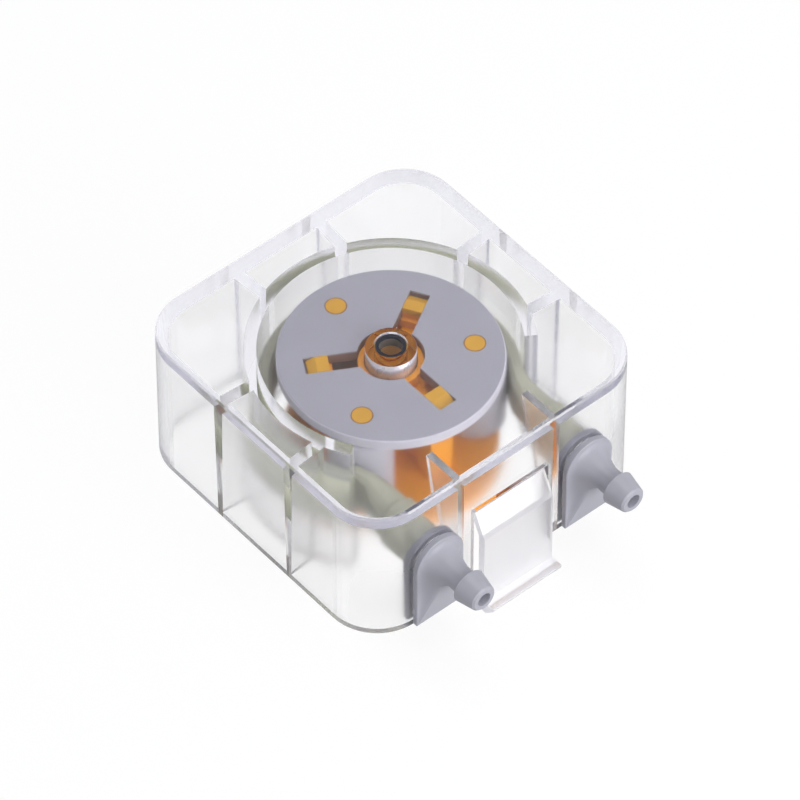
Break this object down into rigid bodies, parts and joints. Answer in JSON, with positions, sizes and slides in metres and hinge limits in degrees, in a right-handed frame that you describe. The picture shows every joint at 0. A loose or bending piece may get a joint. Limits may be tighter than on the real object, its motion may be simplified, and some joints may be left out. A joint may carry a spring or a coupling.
{
  "type": "peristaltic pump head",
  "caption": "Clear clip-on pump head in which a roller rotor squeezes soft tubing between barbed hose connectors.",
  "frame": {"origin": "where the drive axis meets the plane of the cover's open underside", "axes": "+Z along the drive axis from the open underside to the closed top plate; the front wall with the latch and the hose connectors faces -Y"},
  "size_m": [0.06, 0.0723, 0.0339],
  "materials": {
    "clear_plastic": "clear, polished",
    "orange_plastic": "satin",
    "grey_disc_plastic": "satin",
    "grey_roller_plastic": "satin",
    "dark_bush": "satin",
    "tube_rubber": "soft, slightly cloudy",
    "grey_connector_plastic": "satin"
  },
  "bodies": {
    "housing": {"cover_shell": "clear_plastic", "connector_left": "grey_connector_plastic", "connector_right": "grey_connector_plastic", "pump_tube": "tube_rubber"},
    "latch": {"release_latch": "clear_plastic"},
    "rotor": {"rotor_frame": "orange_plastic", "rotor_top_disc": "grey_disc_plastic", "drive_bush": "dark_bush"},
    "roller_a": {"roller_1": "grey_roller_plastic"},
    "roller_b": {"roller_2": "grey_roller_plastic"},
    "roller_c": {"roller_3": "grey_roller_plastic"}
  },
  "joints": [
    {"name": "rotor_spin", "type": "hinge", "parent": "housing", "child": "rotor", "pos_m": [0, 0, 0], "axis": [0, 0, 1], "continuous": true},
    {"name": "roller_1_spin", "type": "hinge", "parent": "rotor", "child": "roller_a", "pos_m": [0, 0.014, 0.013], "axis": [0, 0, 1], "continuous": true},
    {"name": "roller_2_spin", "type": "hinge", "parent": "rotor", "child": "roller_b", "pos_m": [-0.01212, -0.007, 0.013], "axis": [0, 0, 1], "continuous": true},
    {"name": "roller_3_spin", "type": "hinge", "parent": "rotor", "child": "roller_c", "pos_m": [0.01212, -0.007, 0.013], "axis": [0, 0, 1], "continuous": true},
    {"name": "latch_press", "type": "hinge", "parent": "housing", "child": "latch", "pos_m": [0, -0.0291, 0.0171], "axis": [1, 0, 0], "range_deg": [0, 6], "stiffness_Nm_per_rad": 0.6}
  ],
  "couplings": [
    {"joint": "roller_1_spin", "follows": "rotor_spin", "ratio": -3.6415},
    {"joint": "roller_2_spin", "follows": "rotor_spin", "ratio": -3.6415},
    {"joint": "roller_3_spin", "follows": "rotor_spin", "ratio": -3.6415}
  ]
}
